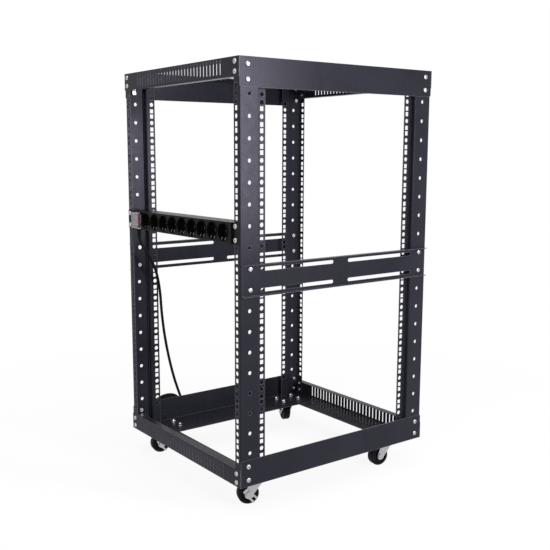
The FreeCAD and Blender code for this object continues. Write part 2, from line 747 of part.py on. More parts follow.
def build_caster_plate(name, x, y):
    """Fixed plate with its upper ball race and headed kingpin."""
    body = new_body(name)
    outline = new_sketch(body, "Outline_" + name, "XY_Plane", -D.plate_sheet)
    draw_box(outline, 0.0, 0.0, D.plate_width, D.plate_length)
    plate = pad(body, outline, "Plate_" + name, D.plate_sheet)

    def is_corner(start, end):
        return near(start.x, end.x) and near(start.y, end.y)

    round_edges(body, plate, "Corners_" + name, edges_at(plate, is_corner), D.plate_corner)
    bolts = new_sketch(body, "Bolts_" + name, "XY_Plane")
    for across in (-1, 1):
        for along in (-1, 1):
            draw_circle(bolts, across * D.bolt_spacing_x / 2,
                        along * D.bolt_spacing_y / 2, D.bolt_hole)
    cut(body, bolts, "BoltHoles_" + name, D.plate_sheet * THROUGH)

    race = new_sketch(body, "Race_" + name, "XY_Plane", -D.plate_sheet)
    draw_circle(race, 0.0, 0.0, D.race_diameter)
    pad(body, race, "UpperRace_" + name, D.race_height, backwards=True)
    pin = new_sketch(body, "Kingpin_" + name, "XY_Plane", -race_bottom)
    draw_circle(pin, 0.0, 0.0, D.kingpin_diameter)
    pad(body, pin, "KingpinStem_" + name, head_top - race_bottom, backwards=True)
    head = new_sketch(body, "Head_" + name, "XY_Plane", -head_top)
    draw_circle(head, 0.0, 0.0, D.kingpin_head)
    pad(body, head, "KingpinHead_" + name, D.head_height, backwards=True)
    place(body, x, y, frame_bottom)


def build_fork(name, x, y, turn):
    """Swivelling fork: a folded bridge with two tapered legs, and its race disc."""
    body = new_body(name)
    skirt = fork_top + D.fork_skirt
    bridge = new_sketch(body, "Bridge_" + name, "YZ_Plane", (D.fork_back - D.fork_front) / 2)
    draw_outline(bridge, [
        (-leg_outside, -fork_top), (leg_outside, -fork_top), (leg_outside, -skirt),
        (leg_inside, -skirt), (leg_inside, -fork_under), (-leg_inside, -fork_under),
        (-leg_inside, -skirt), (-leg_outside, -skirt)])
    channel = pad(body, bridge, "Channel_" + name, D.fork_front + D.fork_back, both_ways=True)

    def is_fold(start, end):
        along = near(start.y, end.y) and near(start.z, end.z)
        return along and near(start.z, -fork_top) and near(abs(start.y), leg_outside)

    round_edges(body, channel, "Folds_" + name, edges_at(channel, is_fold), D.fork_bend)
    for side, word in ((-1, "Left"), (1, "Right")):
        middle = side * (leg_inside + leg_outside) / 2
        leg = new_sketch(body, word + "Leg_" + name, "XZ_Plane", -middle)
        draw_leg(leg, -D.fork_front, D.fork_back, -skirt, D.trail, -axle_drop, D.fork_end)
        pad(body, leg, word + "LegPlate_" + name, D.fork_sheet, both_ways=True)
    disc = new_sketch(body, "Disc_" + name, "XY_Plane", -fork_under)
    draw_circle(disc, 0.0, 0.0, D.race_diameter)
    pad(body, disc, "LowerRace_" + name, D.fork_sheet)
    king = new_sketch(body, "King_" + name, "XY_Plane", -fork_under)
    draw_circle(king, 0.0, 0.0, D.kingpin_diameter + D.running_gap * 2)
    cut(body, king, "KingpinHole_" + name, D.fork_sheet * THROUGH)
    axle = new_sketch(body, "Axle_" + name, "XZ_Plane")
    draw_circle(axle, D.trail, -axle_drop, D.axle_diameter)
    cut(body, axle, "AxleHoles_" + name, leg_outside * THROUGH)
    place(body, x, y, frame_bottom, turn)


def build_axle(name, x, y, turn, through_brake):
    """Axle bolt: hexagon head at one side, hexagon nut at the other."""
    body = new_body(name)
    nut_face = brake_face + D.brake_sheet + D.brake_gap if through_brake else leg_outside
    shaft = new_sketch(body, "Shaft_" + name, "XZ_Plane", leg_outside)
    draw_circle(shaft, 0.0, 0.0, D.axle_diameter)
    pad(body, shaft, "ShaftBar_" + name, leg_outside + nut_face, backwards=True)
    head = new_sketch(body, "Head_" + name, "XZ_Plane", leg_outside)
    draw_hexagon(head, 0.0, 0.0, D.axle_head)
    pad(body, head, "HeadHexagon_" + name, D.axle_head_height)
    nut = new_sketch(body, "Nut_" + name, "XZ_Plane", -nut_face)
    draw_hexagon(nut, 0.0, 0.0, D.axle_head)
    pad(body, nut, "NutHexagon_" + name, D.axle_head_height, backwards=True)
    place(body, x, y, D.wheel_diameter / 2, turn)


def build_wheel(name, x, y, turn):
    """Wheel turned about its axle: bored hub, dished sides, rounded tread."""
    body = new_body(name)
    half = D.wheel_width / 2
    floor = half - D.wheel_dish
    bore = D.axle_diameter / 2 + D.running_gap
    hub = D.hub_diameter / 2
    rim = D.rim_diameter / 2
    tread = D.wheel_diameter / 2
    upper = [(bore, half), (hub, half), (hub, floor), (rim, floor), (rim, half), (tread, half)]
    lower = [(radius, -across) for radius, across in reversed(upper)]
    section = new_sketch(body, "Section_" + name, "XY_Plane")
    draw_outline(section, upper + lower)
    wheel = revolve(body, section, "Turned_" + name, "V_Axis")
    round_edges(body, wheel, "Tread_" + name, circles_at(wheel, tread), D.tread_round)
    place(body, x, y, D.wheel_diameter / 2, turn)


def build_brake(name, x, y, turn):
    """Pressed brake lever on the axle: a pedal above, two prongs at the tread below."""
    body = new_body(name)
    disc = new_sketch(body, "Disc_" + name, "XZ_Plane", -brake_face)
    draw_circle(disc, 0.0, 0.0, D.brake_disc)
    pad(body, disc, "DiscPlate_" + name, D.brake_sheet, backwards=True)

    slant = math.sqrt(0.5)

    def turned(along, across):
        """A point along the lever's 45 degree middle line and across it."""
        return ((along - across) * slant, (along + across) * slant)

    arms = [("Pedal", D.brake_reach, size(0.0), D.brake_tab),
            ("UpperProng", -D.brake_tip, D.brake_fork, D.brake_prong),
            ("LowerProng", -D.brake_tip, -D.brake_fork, D.brake_prong)]
    for word, reach, off, width in arms:
        sketch = new_sketch(body, word + "_" + name, "XZ_Plane", -brake_face)
        root = size(0.0)
        draw_outline(sketch, [
            turned(root, off - width / 2), turned(reach, off - width / 2),
            turned(reach, off + width / 2), turned(root, off + width / 2)])
        pad(body, sketch, word + "Plate_" + name, D.brake_sheet, backwards=True)
    pedal = new_sketch(body, "Turned_" + name, "XZ_Plane", -brake_face)
    inner = D.brake_reach - D.brake_sheet
    draw_outline(pedal, [
        turned(inner, -D.brake_tab / 2), turned(D.brake_reach, -D.brake_tab / 2),
        turned(D.brake_reach, D.brake_tab / 2), turned(inner, D.brake_tab / 2)])
    pad(body, pedal, "TurnedEdge_" + name, D.pedal_width, backwards=True)
    bore = new_sketch(body, "Bore_" + name, "XZ_Plane")
    draw_circle(bore, 0.0, 0.0, D.axle_diameter + D.running_gap * 2)
    cut(body, bore, "AxleHole_" + name, (brake_face + D.pedal_width) * 2)
    place(body, x, y, D.wheel_diameter / 2, turn)


# Swivel direction of each caster as it stands, in degrees from +X.
CASTER_TURNS = {
    "front_right": -111.0,
    "front_left": -100.0,
    "rear_right": -99.0,
    "rear_left": 160.0,
}


def build_casters():
    for end, end_word in ((-1, "front"), (1, "rear")):
        for side, side_word in ((-1, "left"), (1, "right")):
            corner = "%s_%s" % (end_word, side_word)
            x = side * (half_width - D.caster_inset)
            y = frame_y + end * (half_depth - D.caster_inset_y)
            angle = math.radians(CASTER_TURNS[corner])
            turn = Rotation(Vector(0, 0, 1), CASTER_TURNS[corner])
            wheel_x = x + D.trail * math.cos(angle)
            wheel_y = y + D.trail * math.sin(angle)
            has_brake = end_word == "front"
            build_caster_plate("caster_plate_" + corner, x, y)
            build_fork("caster_fork_" + corner, x, y, turn)
            build_axle("caster_axle_" + corner, wheel_x, wheel_y, turn, has_brake)
            build_wheel("caster_wheel_" + corner, wheel_x, wheel_y, turn)
            if has_brake:
                build_brake("caster_brake_" + corner, wheel_x, wheel_y, turn)


# ------------------------------------------------------------- power strip

strip_front = frame_y - half_depth - D.strip_reach
strip_back = strip_front + D.strip_depth
strip_z = (first_unit + D.unit_pitch * (D.unit_count - D.strip_unit)
           - D.strip_drop)
strip_half = D.strip_length / 2
switch_x = -strip_half + D.switch_end
cord_radius = float(D.cord_diameter) / 2


def build_housing():
    """Extruded channel, open to the front, with the gland's hole below."""
    name = "power_strip_housing"
    body = new_body(name)
    half = D.strip_height / 2
    wall = D.strip_wall
    depth = D.strip_depth
    section = new_sketch(body, "Section_" + name, "YZ_Plane")
    draw_outline(section, [
        (size(0.0), -half), (depth, -half), (depth, half), (size(0.0), half),
        (size(0.0), half - wall), (depth - wall, half - wall),
        (depth - wall, wall - half), (size(0.0), wall - half)])
    channel = pad(body, section, "Channel_" + name, D.strip_length, both_ways=True)

    def is_back(start, end):
        along = near(start.y, end.y) and near(start.z, end.z)
        return along and near(start.y, float(depth)) and near(abs(start.z), float(half))

    round_edges(body, channel, "BackEdges_" + name, edges_at(channel, is_back), wall)
    hole = new_sketch(body, "GlandHole_" + name, "XY_Plane", -half)
    draw_circle(hole, -strip_half + D.gland_end, D.gland_back,
                D.cord_diameter + D.gland_wall * 2)
    cut(body, hole, "GlandCut_" + name, wall * THROUGH)
    place(body, 0.0, strip_front, strip_z)


def build_sockets():
    """Front block with the round outlet recesses and their contact holes."""
    name = "power_strip_sockets"
    body = new_body(name)
    height = D.strip_height - D.strip_wall * 2
    width = D.strip_length - D.switch_plate
    middle = D.switch_plate / 2
    depth = D.outlet_depth + D.outlet_floor
    block = new_sketch(body, "Block_" + name, "XZ_Plane", -depth)
    draw_box(block, middle, 0.0, width, height)
    pad(body, block, "Face_" + name, depth)

    last = strip_half - D.outlet_end
    first = last - D.outlet_pitch * (D.outlet_count - 1)
    recess = new_sketch(body, "Recess_" + name, "XZ_Plane")
    draw_circle(recess, first, 0.0, D.outlet_diameter)
    recess_cut = cut(body, recess, "RecessCut_" + name, D.outlet_depth * 2)
    repeat(body, recess_cut, "RecessRow_" + name, recess, "H_Axis",
           D.outlet_pitch, D.outlet_count)
    contacts = new_sketch(body, "Contacts_" + name, "XZ_Plane")
    for side in (-1, 1):
        draw_circle(contacts, first + side * D.pin_spacing / 2, 0.0, D.contact_hole)
    contacts_cut = cut(body, contacts, "ContactCut_" + name,
                       (D.outlet_depth + D.contact_depth) * 2)
    repeat(body, contacts_cut, "ContactRow_" + name, contacts, "H_Axis",
           D.outlet_pitch, D.outlet_count)
    place(body, 0.0, strip_front, strip_z)


def build_switch_plate():
    """Blank end of the strip's face, with the switch's opening."""
    name = "power_strip_switch_plate"
    body = new_body(name)
    height = D.strip_height - D.strip_wall * 2
    middle = -strip_half + D.switch_plate / 2
    plate = new_sketch(body, "Plate_" + name, "XZ_Plane", -D.strip_wall)
    draw_box(plate, middle, 0.0, D.switch_plate, height)
    pad(body, plate, "Face_" + name, D.strip_wall)
    opening = new_sketch(body, "Opening_" + name, "XZ_Plane")
    around = (D.rocker_gap + D.sleeve_wall + D.sleeve_gap) * 2
    draw_box(opening, switch_x, 0.0, D.rocker_width + around, D.rocker_height + around)
    cut(body, opening, "OpeningCut_" + name, D.strip_wall * THROUGH)
    place(body, 0.0, strip_front, strip_z)


def build_switch_frame():
    """Frame round the rocker, with its pivot pin and the cover's hinge lugs."""
    name = "power_strip_switch_frame"
    body = new_body(name)
    inner_width = D.rocker_width + D.rocker_gap * 2
    inner_height = D.rocker_height + D.rocker_gap * 2
    border = D.frame_border
    front = new_sketch(body, "Front_" + name, "XZ_Plane")
    draw_box(front, 0.0, 0.0, inner_width + border * 2, inner_height + border * 2)
    draw_box(front, 0.0, 0.0, inner_width, inner_height)
    pad(body, front, "Border_" + name, D.frame_reach)
    sleeve = new_sketch(body, "Sleeve_" + name, "XZ_Plane", -D.sleeve_depth)
    draw_box(sleeve, 0.0, 0.0, inner_width + D.sleeve_wall * 2, inner_height + D.sleeve_wall * 2)
    draw_box(sleeve, 0.0, 0.0, inner_width, inner_height)
    pad(body, sleeve, "SleeveWall_" + name, D.sleeve_depth)
    pin = new_sketch(body, "Pin_" + name, "YZ_Plane")
    draw_circle(pin, D.pivot_depth, 0.0, D.rocker_pivot)
    pad(body, pin, "PinBar_" + name, inner_width + D.sleeve_wall, both_ways=True)

    lug_y = -D.cover_pin_reach
    lug_z = D.cover_height / 2 - D.cover_pin_drop
    pin_length = D.cover_width + (D.cover_gap + D.lug_sheet) * 2
    hinge = new_sketch(body, "HingePin_" + name, "YZ_Plane")
    draw_circle(hinge, lug_y, lug_z, D.cover_pin)
    pad(body, hinge, "HingeBar_" + name, pin_length, both_ways=True)
    for side, word in ((-1, "Left"), (1, "Right")):
        lug = new_sketch(body, word + "Lug_" + name, "YZ_Plane",
                         side * (pin_length - D.lug_sheet) / 2)
        draw_box(lug, (lug_y - D.lug_past) / 2, lug_z, D.lug_past - lug_y, D.lug_height)
        pad(body, lug, word + "LugPlate_" + name, D.lug_sheet, both_ways=True)
        web = new_sketch(body, word + "Web_" + name, "XZ_Plane")
        reach = (pin_length - inner_width) / 2
        draw_box(web, side * (inner_width + reach) / 2,
                 lug_z + (D.lug_height - D.lug_root) / 2, reach, D.lug_root)
        pad(body, web, word + "WebPlate_" + name, D.root_sheet)
    place(body, switch_x, strip_front, strip_z)


def build_rocker():
    """Rocker paddle that turns on the frame's pin."""
    name = "power_strip_rocker"
    body = new_body(name)
    half = D.rocker_height / 2
    heel = D.rocker_heel / 2
    section = new_sketch(body, "Section_" + name, "YZ_Plane")
    draw_outline(section, [
        (-D.rocker_reach, -half), (D.rocker_side, -half), (D.rocker_back, -heel),
        (D.rocker_back, heel), (D.rocker_side, half), (-D.rocker_reach, half),
        (D.rocker_dish - D.rocker_reach, size(0.0))])
    pad(body, section, "Paddle_" + name, D.rocker_width, both_ways=True)
    bore = new_sketch(body, "Bore_" + name, "YZ_Plane")
    draw_circle(bore, D.pivot_depth, 0.0, D.rocker_pivot + D.running_gap * 2)
    cut(body, bore, "BoreCut_" + name, D.rocker_width * 2)
    place(body, switch_x, strip_front, strip_z)


def build_cover():
    """Clear cover, hollow to the back, hinged along its top edge."""
    name = "power_strip_switch_cover"
    body = new_body(name)
    reach = D.cover_reach
    wall = D.cover_wall
    pin_z = D.cover_height / 2 - D.cover_pin_drop
    shell = new_sketch(body, "Shell_" + name, "XZ_Plane", D.cover_back)
    draw_box(shell, 0.0, 0.0, D.cover_width, D.cover_height)
    pad(body, shell, "Box_" + name, reach - D.cover_back)
    hollow = new_sketch(body, "Hollow_" + name, "XZ_Plane")
    draw_box(hollow, 0.0, 0.0, D.cover_width - wall * 2, D.cover_height - wall * 2)
    cut(body, hollow, "HollowCut_" + name, (reach - wall) * 2)
    barrel = new_sketch(body, "Barrel_" + name, "YZ_Plane")
    draw_circle(barrel, -D.cover_pin_reach, pin_z, D.cover_barrel)
    pad(body, barrel, "BarrelBar_" + name, D.cover_width, both_ways=True)
    bore = new_sketch(body, "Bore_" + name, "YZ_Plane")
    draw_circle(bore, -D.cover_pin_reach, pin_z, D.cover_pin + D.running_gap * 2)
    cut(body, bore, "BoreCut_" + name, D.cover_width * 2)
    place(body, switch_x, strip_front, strip_z)


def build_ear(name, side):
    """Folded bracket: an ear on the post's face and a cheek on the strip's end."""
    body = new_body(name)
    cheek = D.ear_sheet
    cheek_back = D.strip_depth - D.cheek_inset
    section = new_sketch(body, "Section_" + name, "XY_Plane", -D.strip_height / 2)
    front = D.strip_reach - cheek
    draw_outline(section, [
        (size(0.0), front), (side * D.ear_width, front),
        (side * D.ear_width, D.strip_reach), (side * cheek, D.strip_reach),
        (side * cheek, cheek_back), (size(0.0), cheek_back)])
    pad(body, section, "Fold_" + name, D.strip_height)
    holes = new_sketch(body, "Screws_" + name, "XZ_Plane", -D.strip_reach)
    column = side * (rail_column - strip_half)
    for rise in (-1, 1):
        draw_slot(holes, column, rise * D.strip_drop, D.ear_slot, D.screw_hole)
    cut(body, holes, "ScrewSlots_" + name, cheek * THROUGH)
    place(body, side * strip_half, strip_front, strip_z)


def build_strip():
    build_housing()
    build_sockets()
    build_switch_plate()
    build_switch_frame()
    build_rocker()
    build_cover()
    build_ear("power_strip_ear_left", -1)
    build_ear("power_strip_ear_right", 1)


# ------------------------------------------------------------- supply cord

# Share of a run that the arc at each of its ends may use.
ARC_SHARE = 0.45


def rounded_route(points):
    """Straight runs joined by tangent arcs, and the arcs' radii."""
    edges = []
    radii = []
    start = points[0]
    for before, point, after in zip(points, points[1:], points[2:]):
        into = (point - before).normalize()
        out = (after - point).normalize()
        half_turn = into.getAngle(out) / 2
        trim = ARC_SHARE * min((point - before).Length, (after - point).Length)
        radius = trim / math.tan(half_turn)
        radii.append(radius)
        first = point - into * trim
        last = point + out * trim
        inward = (out - into).normalize()
        middle = point + inward * (radius / math.cos(half_turn) - radius)
        edges.append(Part.LineSegment(start, first).toShape())
        edges.append(Part.Arc(first, middle, last).toShape())
        start = last
    edges.append(Part.LineSegment(start, points[-1]).toShape())
    return Part.Wire(edges), radii


def build_tube(name, points):
    wire, radii = rounded_route(points)
    heading = (points[1] - points[0]).normalize()
    ring = Part.Wire(Part.makeCircle(cord_radius, points[0], heading))
    tube = wire.makePipeShell([ring], True, False)
    expected = math.pi * cord_radius ** 2 * wire.Length
    print("%s: length %.1f, volume ratio %.4f, least radius %.1f"
          % (name, wire.Length, tube.Volume / expected, min(radii)))
    print("  radii " + " ".join("%.0f" % radius for radius in radii))
    new_solid(name, tube)


gland_x = float(-strip_half + D.gland_end)
gland_y = float(strip_front + D.gland_back)
gland_z = float(strip_z - D.strip_height / 2)
exit_z = gland_z - float(D.gland_length)
# Middle of the coil, which stands on the floor and leans on the left side panel.
coil_middle = Vector(-262.8, -162.5, 67.9)

# The lead hangs inside the left posts and crosses to the outside near the floor.
LEAD_ROUTE = [
    Vector(gland_x, gland_y, exit_z),
    Vector(gland_x, gland_y, 549.0),
    Vector(-208.5, -245.5, 523.0),
    Vector(-213.5, -225.5, 500.0),
    Vector(-218.5, -207.0, 473.0),
    Vector(-224.5, -193.5, 424.0),
    Vector(-231.0, -186.5, 358.0),
    Vector(-239.0, -173.5, 290.0),
    Vector(-247.0, -156.5, 226.0),
    Vector(-253.5, -138.5, 170.0),
    Vector(-257.6, -124.6, 136.0),
    Vector(-258.2, -117.3, 115.6),
]
# The other end leaves the coil's back and curves down to the plug on the floor.
TAIL_ROUTE = [
    Vector(-262.6, -102.5, 67.5),
    Vector(-264.6, -101.6, 51.3),
    Vector(-271.8, -102.8, 36.8),
    Vector(-282.6, -107.2, 25.6),
    Vector(-295.2, -114.6, 19.0),
    Vector(-308.0, -123.8, 17.2),
]


def build_gland():
    """Tapered strain relief under the housing, with a flange against it."""
    name = "power_cord_gland"
    body = new_body(name)
    wide = D.gland_diameter / 2
    section = new_sketch(body, "Section_" + name, "XZ_Plane")
    draw_outline(section, [
        (size(0.0), size(0.0)), (wide, size(0.0)), (wide, -D.gland_flange),
        (wide * D.gland_waist, -D.gland_flange),
        (D.cord_diameter / 2 + D.gland_wall, -D.gland_length), (size(0.0), -D.gland_length)])
    revolve(body, section, "Turned_" + name, "V_Axis")
    place(body, -strip_half + D.gland_end, strip_front + D.gland_back,
          strip_z - D.strip_height / 2)


def build_coil():
    """Outer shape of three touching turns tied together."""
    name = "power_cord_coil"
    ring = doc.addObject("Part::Torus", "Solid_" + name)
    ring.Label = name
    bind(ring, "Radius1", D.coil_radius)
    # the circle round three touching circles
    bind(ring, "Radius2", D.cord_diameter / 2 * (1 + 2 / math.sqrt(3)))
    upright = Rotation(Vector(0, 1, 0), 90.0 + float(D.coil_lean))
    ring.Placement = Placement(coil_middle, upright)
    made.append((name, ring))


def build_plug():
    """Round plug with a tapered grip and two pins, lying on the floor."""
    name = "power_cord_plug"
    body = new_body(name)
    radius = D.plug_diameter / 2
    total = D.grip_length + D.plug_length
    section = new_sketch(body, "Section_" + name, "XY_Plane")
    draw_outline(section, [
        (size(0.0), size(0.0)), (size(0.0), D.grip_end / 2),
        (D.grip_length, radius * D.plug_waist), (D.grip_length, radius),
        (total, radius), (total, size(0.0))])
    revolve(body, section, "Turned_" + name, "H_Axis")
    pins = new_sketch(body, "Pins_" + name, "YZ_Plane", total)
    for side in (-1, 1):
        draw_circle(pins, side * D.pin_spacing / 2, 0.0, D.pin_diameter)
    pad(body, pins, "PinBars_" + name, D.pin_length)
    end = TAIL_ROUTE[-1]
    heading = end - TAIL_ROUTE[-2]
    turn = Rotation(Vector(1, 0, 0), Vector(heading.x, heading.y, 0))
    place(body, end.x, end.y, end.z, turn)


def build_cord():
    build_gland()
    build_tube("power_cord_lead", LEAD_ROUTE)
    build_coil()
    build_tube("power_cord_tail", TAIL_ROUTE)
    build_plug()


# -------------------------------------------------------------------- make

def write_parts():
    for thing in doc.Objects:
        if "Invalid" in thing.State or "Error" in thing.State:
            raise RuntimeError("%s is not sound: %s" % (thing.Name, thing.State))
    for name, thing in made:
        if thing.Shape.isNull() or not thing.Shape.isValid():
            raise RuntimeError("%s has no sound shape" % name)
    os.makedirs("parts", exist_ok=True)
    for name, thing in made:
        thing.Shape.exportStep("parts/%s.step" % name)


def main():
    build_posts()
    build_end_frames()
    build_side_rail("side_rail_left", -1)
    build_side_rail("side_rail_right", 1)
    build_casters()
    build_strip()
    build_cord()
    doc.recompute()
    write_parts()


main()
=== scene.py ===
"""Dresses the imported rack: materials, fasteners, socket contacts, cord, camera and studio.

Metres, in the frame of the part: +X right, -Y front, +Z up, floor at z 0.
"""
import json
import math

import bmesh
import bpy
from mathutils import Matrix, Vector


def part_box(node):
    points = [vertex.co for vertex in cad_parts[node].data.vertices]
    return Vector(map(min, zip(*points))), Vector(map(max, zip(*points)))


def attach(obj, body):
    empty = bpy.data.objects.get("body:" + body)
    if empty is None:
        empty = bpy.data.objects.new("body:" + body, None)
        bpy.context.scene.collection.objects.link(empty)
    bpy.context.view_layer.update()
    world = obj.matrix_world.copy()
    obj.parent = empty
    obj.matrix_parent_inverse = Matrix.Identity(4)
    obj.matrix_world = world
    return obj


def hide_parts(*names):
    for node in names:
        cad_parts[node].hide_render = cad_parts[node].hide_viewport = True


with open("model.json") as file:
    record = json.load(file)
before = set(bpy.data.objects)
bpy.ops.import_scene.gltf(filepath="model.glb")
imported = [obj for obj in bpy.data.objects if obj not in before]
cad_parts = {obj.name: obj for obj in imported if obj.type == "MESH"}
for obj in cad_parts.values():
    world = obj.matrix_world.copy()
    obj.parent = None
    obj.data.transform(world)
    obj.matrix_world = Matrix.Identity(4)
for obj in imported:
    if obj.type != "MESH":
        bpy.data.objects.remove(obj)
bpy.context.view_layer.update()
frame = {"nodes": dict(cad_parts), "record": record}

nodes = frame["nodes"]
CORNERS = ("front_left", "front_right", "rear_left", "rear_right")
MM = 0.001


# --------------------------------------------------------------- materials

class Recipe:
    """A node material under construction, with short calls for its parts."""

    def __init__(self, name):
        self.material = bpy.data.materials.new(name)
        self.material.use_nodes = True
        self.tree = self.material.node_tree
        self.shader = self.tree.nodes["Principled BSDF"]
        self.place = self.add("ShaderNodeTexCoord").outputs["Object"]

    def add(self, kind, **inputs):
        node = self.tree.nodes.new(kind)
        for name, value in inputs.items():
            self.feed(value, node.inputs[name.replace("_", " ")])
        return node

    def feed(self, value, socket):
        if isinstance(value, bpy.types.NodeSocket):
            self.tree.links.new(value, socket)
        else:
            socket.default_value = value

    def set(self, **inputs):
        for name, value in inputs.items():
            self.feed(value, self.shader.inputs[name.replace("_", " ")])

    def noise(self, scale, detail=2.0, stretch=None):
        vector = self.place
        if stretch:
            mapping = self.add("ShaderNodeMapping", Vector=self.place)
            mapping.inputs["Scale"].default_value = stretch
            vector = mapping.outputs["Vector"]
        node = self.add("ShaderNodeTexNoise", Vector=vector, Scale=scale, Detail=detail)
        return node.outputs["Fac"]

    def span(self, value, low, high, start=0.3, end=0.7):
        """Map a texture's value from start..end to low..high."""
        node = self.add("ShaderNodeMapRange", Value=value)
        for name, number in (("From Min", start), ("From Max", end),
                             ("To Min", low), ("To Max", high)):
            node.inputs[name].default_value = number
        return node.outputs["Result"]

    def mix(self, factor, first, second):
        """Mix two colours, or a colour and a socket."""
        node = self.tree.nodes.new("ShaderNodeMix")
        node.data_type = "RGBA"
        colours = [socket for socket in node.inputs if socket.type == "RGBA"]
        self.feed(factor, node.inputs["Factor"])
        self.feed(first, colours[0])
        self.feed(second, colours[1])
        return [socket for socket in node.outputs if socket.type == "RGBA"][0]

    def edges(self, radius):
        """1 along the outer and inner edges of a piece, 0 away from them; it masks the painted
        edge highlights.
        """
        rounded = self.add("ShaderNodeBevel", Radius=radius)
        rounded.samples = 6
        plain = self.add("ShaderNodeNewGeometry").outputs["Normal"]
        agree = self.tree.nodes.new("ShaderNodeVectorMath")
        agree.operation = "DOT_PRODUCT"
        self.feed(rounded.outputs["Normal"], agree.inputs[0])
        self.feed(plain, agree.inputs[1])
        return self.span(agree.outputs["Value"], 1.0, 0.0, 0.75, 0.97)

    def bump(self, height, depth):
        node = self.add("ShaderNodeBump", Height=height)
        node.inputs["Distance"].default_value = depth
        self.set(Normal=node.outputs["Normal"])


def shade(value, blue=0.0):
    """An opaque grey, with a little more blue if asked."""
    return (value, value, value * (1.0 + blue), 1.0)


def powder_coat():
    """Satin blue-black powder coat: fine orange peel, uneven in depth, and a painted highlight
    along every edge.
    """
    r = Recipe("black_powder_coat")
    depth = r.span(r.noise(9.0, 3.0), 0.0, 1.0)
    body = r.mix(depth, shade(0.0125, 0.4), shade(0.0170, 0.4))
    painted_edge_highlight = (0.125, 0.12, 0.16, 1.0)
    # painted highlight: a light blue-grey along every edge, for the light that bends catch
    r.set(Base_Color=r.mix(r.edges(2.0 * MM), body, painted_edge_highlight))
    r.set(Roughness=r.span(r.noise(60.0), 0.25, 0.30))
    r.set(Specular_IOR_Level=0.09, Specular_Tint=(0.82, 0.79, 1.0, 1.0))
    r.bump(r.noise(900.0, 1.0), 0.00003)
    return r.material


def zinc(name, tone, roughness, edge=0.9):
    """Zinc plate with faint rolling streaks, duller patches and a painted highlight along its
    edges.
    """
    r = Recipe(name)
    r.set(Metallic=1.0)
    body = r.mix(r.noise(120.0, 3.0), shade(tone), shade(tone * 0.75, 0.04))
    # painted highlight: the edge grey along every edge, for the light that rims catch
    r.set(Base_Color=r.mix(r.edges(1.3 * MM), body, shade(edge)))
    r.set(Roughness=r.span(r.noise(300.0, 2.0), roughness, roughness + 0.14))
    r.bump(r.noise(500.0, 2.0, (1.0, 1.0, 6.0)), 0.00003)
    return r.material


def wheel_black():
    """Dull black wheel with faint road dust, uneven all over."""
    r = Recipe("wheel_black")
    r.set(Base_Color=r.mix(r.span(r.noise(150.0, 4.0), 0.0, 1.0), shade(0.003), shade(0.007)))
    r.set(Roughness=r.span(r.noise(400.0), 0.42, 0.6), Specular_IOR_Level=0.08)
    r.bump(r.noise(600.0, 2.0), 0.00008)
    return r.material


def strip_paint():
    """Smooth satin black on the strip's metal housing."""
    r = Recipe("strip_paint")
    r.set(Base_Color=r.mix(r.noise(25.0), shade(0.004, 0.1), shade(0.006, 0.1)))
    r.set(Roughness=r.span(r.noise(90.0), 0.3, 0.36), Specular_IOR_Level=0.06)
    r.bump(r.noise(1500.0, 1.0), 0.00002)
    return r.material


def strip_plastic():
    """Moulded black plastic with a fine spark-eroded grain."""
    r = Recipe("strip_plastic")
    r.set(Base_Color=r.mix(r.noise(80.0), shade(0.003), shade(0.005)))
    r.set(Roughness=r.span(r.noise(200.0), 0.34, 0.44), Specular_IOR_Level=0.06)
    r.bump(r.noise(2500.0, 1.0), 0.00004)
    return r.material


def rocker_red():
    """Translucent red rocker, its red darker in random patches."""
    r = Recipe("rocker_red")
    r.set(Base_Color=r.mix(r.noise(150.0), (0.42, 0.015, 0.05, 1), (0.28, 0.01, 0.035, 1)))
    r.set(Roughness=0.18, Specular_IOR_Level=0.25)
    r.bump(r.noise(400.0), 0.00001)
    return r.material


def clear_plastic():
    """Milky clear flip cover with fine wiping marks and a painted highlight along its edges."""
    r = Recipe("clear_plastic")
    haze = r.mix(r.noise(60.0), (0.80, 0.74, 0.81, 1.0), (0.70, 0.65, 0.72, 1.0))
    # painted highlight: near-white along every edge, for the light that the cover's rims catch
    r.set(Base_Color=r.mix(r.edges(0.8 * MM), haze, shade(0.96)))
    r.set(Roughness=r.span(r.noise(200.0, 3.0), 0.03, 0.09), IOR=1.49)
    r.set(Transmission_Weight=0.93)
    return r.material


def cord_rubber():
    """Matt black cord jacket."""
    r = Recipe("cord_rubber")
    r.set(Base_Color=r.mix(r.noise(90.0), shade(0.004), shade(0.006)))
    r.set(Roughness=r.span(r.noise(300.0), 0.42, 0.55), Specular_IOR_Level=0.06)
    r.bump(r.noise(1200.0), 0.00003)
    return r.material


FINISH = {
    "black_paint": powder_coat(),
    "zinc": zinc("zinc_plate", 0.46, 0.26),
    "wheel_black": wheel_black(),
    "strip_metal": strip_paint(),
    "strip_plastic": strip_plastic(),
    "rocker_red": rocker_red(),
    "clear_cover": clear_plastic(),
    "cord_black": cord_rubber(),
}
BRIGHT = zinc("bright_zinc", 0.50, 0.24)
# the last number is the grey of the contacts' painted edge highlight
CONTACT = zinc("dull_nickel", 0.20, 0.32, 0.34)


def dress_frame():
    """Give each carried-over solid the material of its slot in the record."""
    for part in frame["record"]["subparts"]:
        mesh_object = nodes[part["node"]]
        finish = FINISH[part["material_slot"]]
        if not mesh_object.material_slots:
            mesh_object.data.materials.append(finish)
        for place in mesh_object.material_slots:
            place.material = finish


# ------------------------------------------------------------------- places

class Box:
    """A node's box at rest, with its corners and middle."""

    def __init__(self, node):
        self.low, self.high = (Vector(corner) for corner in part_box(node))
        self.middle = (self.low + self.high) / 2


